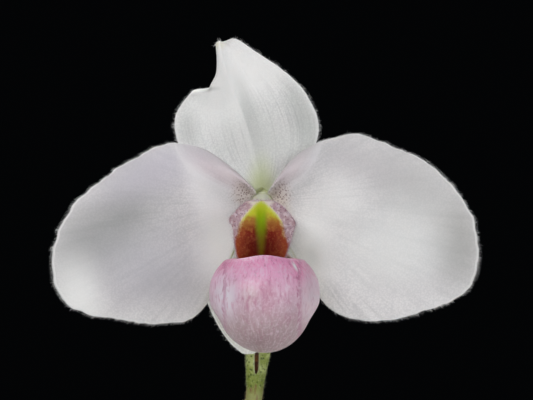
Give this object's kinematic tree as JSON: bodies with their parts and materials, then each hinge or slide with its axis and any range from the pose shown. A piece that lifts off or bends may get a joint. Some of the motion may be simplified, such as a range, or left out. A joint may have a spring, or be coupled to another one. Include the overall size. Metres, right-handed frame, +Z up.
{
  "type": "slipper orchid in vase",
  "caption": "White slipper orchid bloom with a pink pouch, on a cut stem that leans in a clear glass bud vase of water.",
  "frame": {"origin": "middle of the flat underside of the vase", "axes": "+Z up; the bloom faces -Y; +X to the right as seen from the front"},
  "size_m": [0.0923, 0.0704, 0.2567],
  "materials": {
    "clear_glass": "clear blown glass, glossy",
    "water": "clear still water",
    "stem": "hairy green stem, mottled brown",
    "bract": "green leafy sheath with dark specks, hairy",
    "ovary": "ribbed, red-brown and hairy",
    "petals": "translucent white petal with fine glistening grain",
    "sepals": "translucent white sepal, greenish at its base",
    "pouch": "thin pink skin with darker upright veins, satin",
    "shield": "waxy maroon flanks, yellow-green middle, pale hairy rim",
    "column": "pale green, waxy",
    "pollen": "sticky yellow pollen mass"
  },
  "bodies": {
    "root": {"vase": "clear_glass", "water": "water", "stem": "stem", "bract": "bract", "ovary": "ovary", "petal_left": "petals", "petal_right": "petals", "upper_sepal": "sepals", "lower_sepal": "sepals", "pouch": "pouch", "shield": "shield", "column": "column", "anther_left": "pollen", "anther_right": "pollen"}
  },
  "joints": []
}
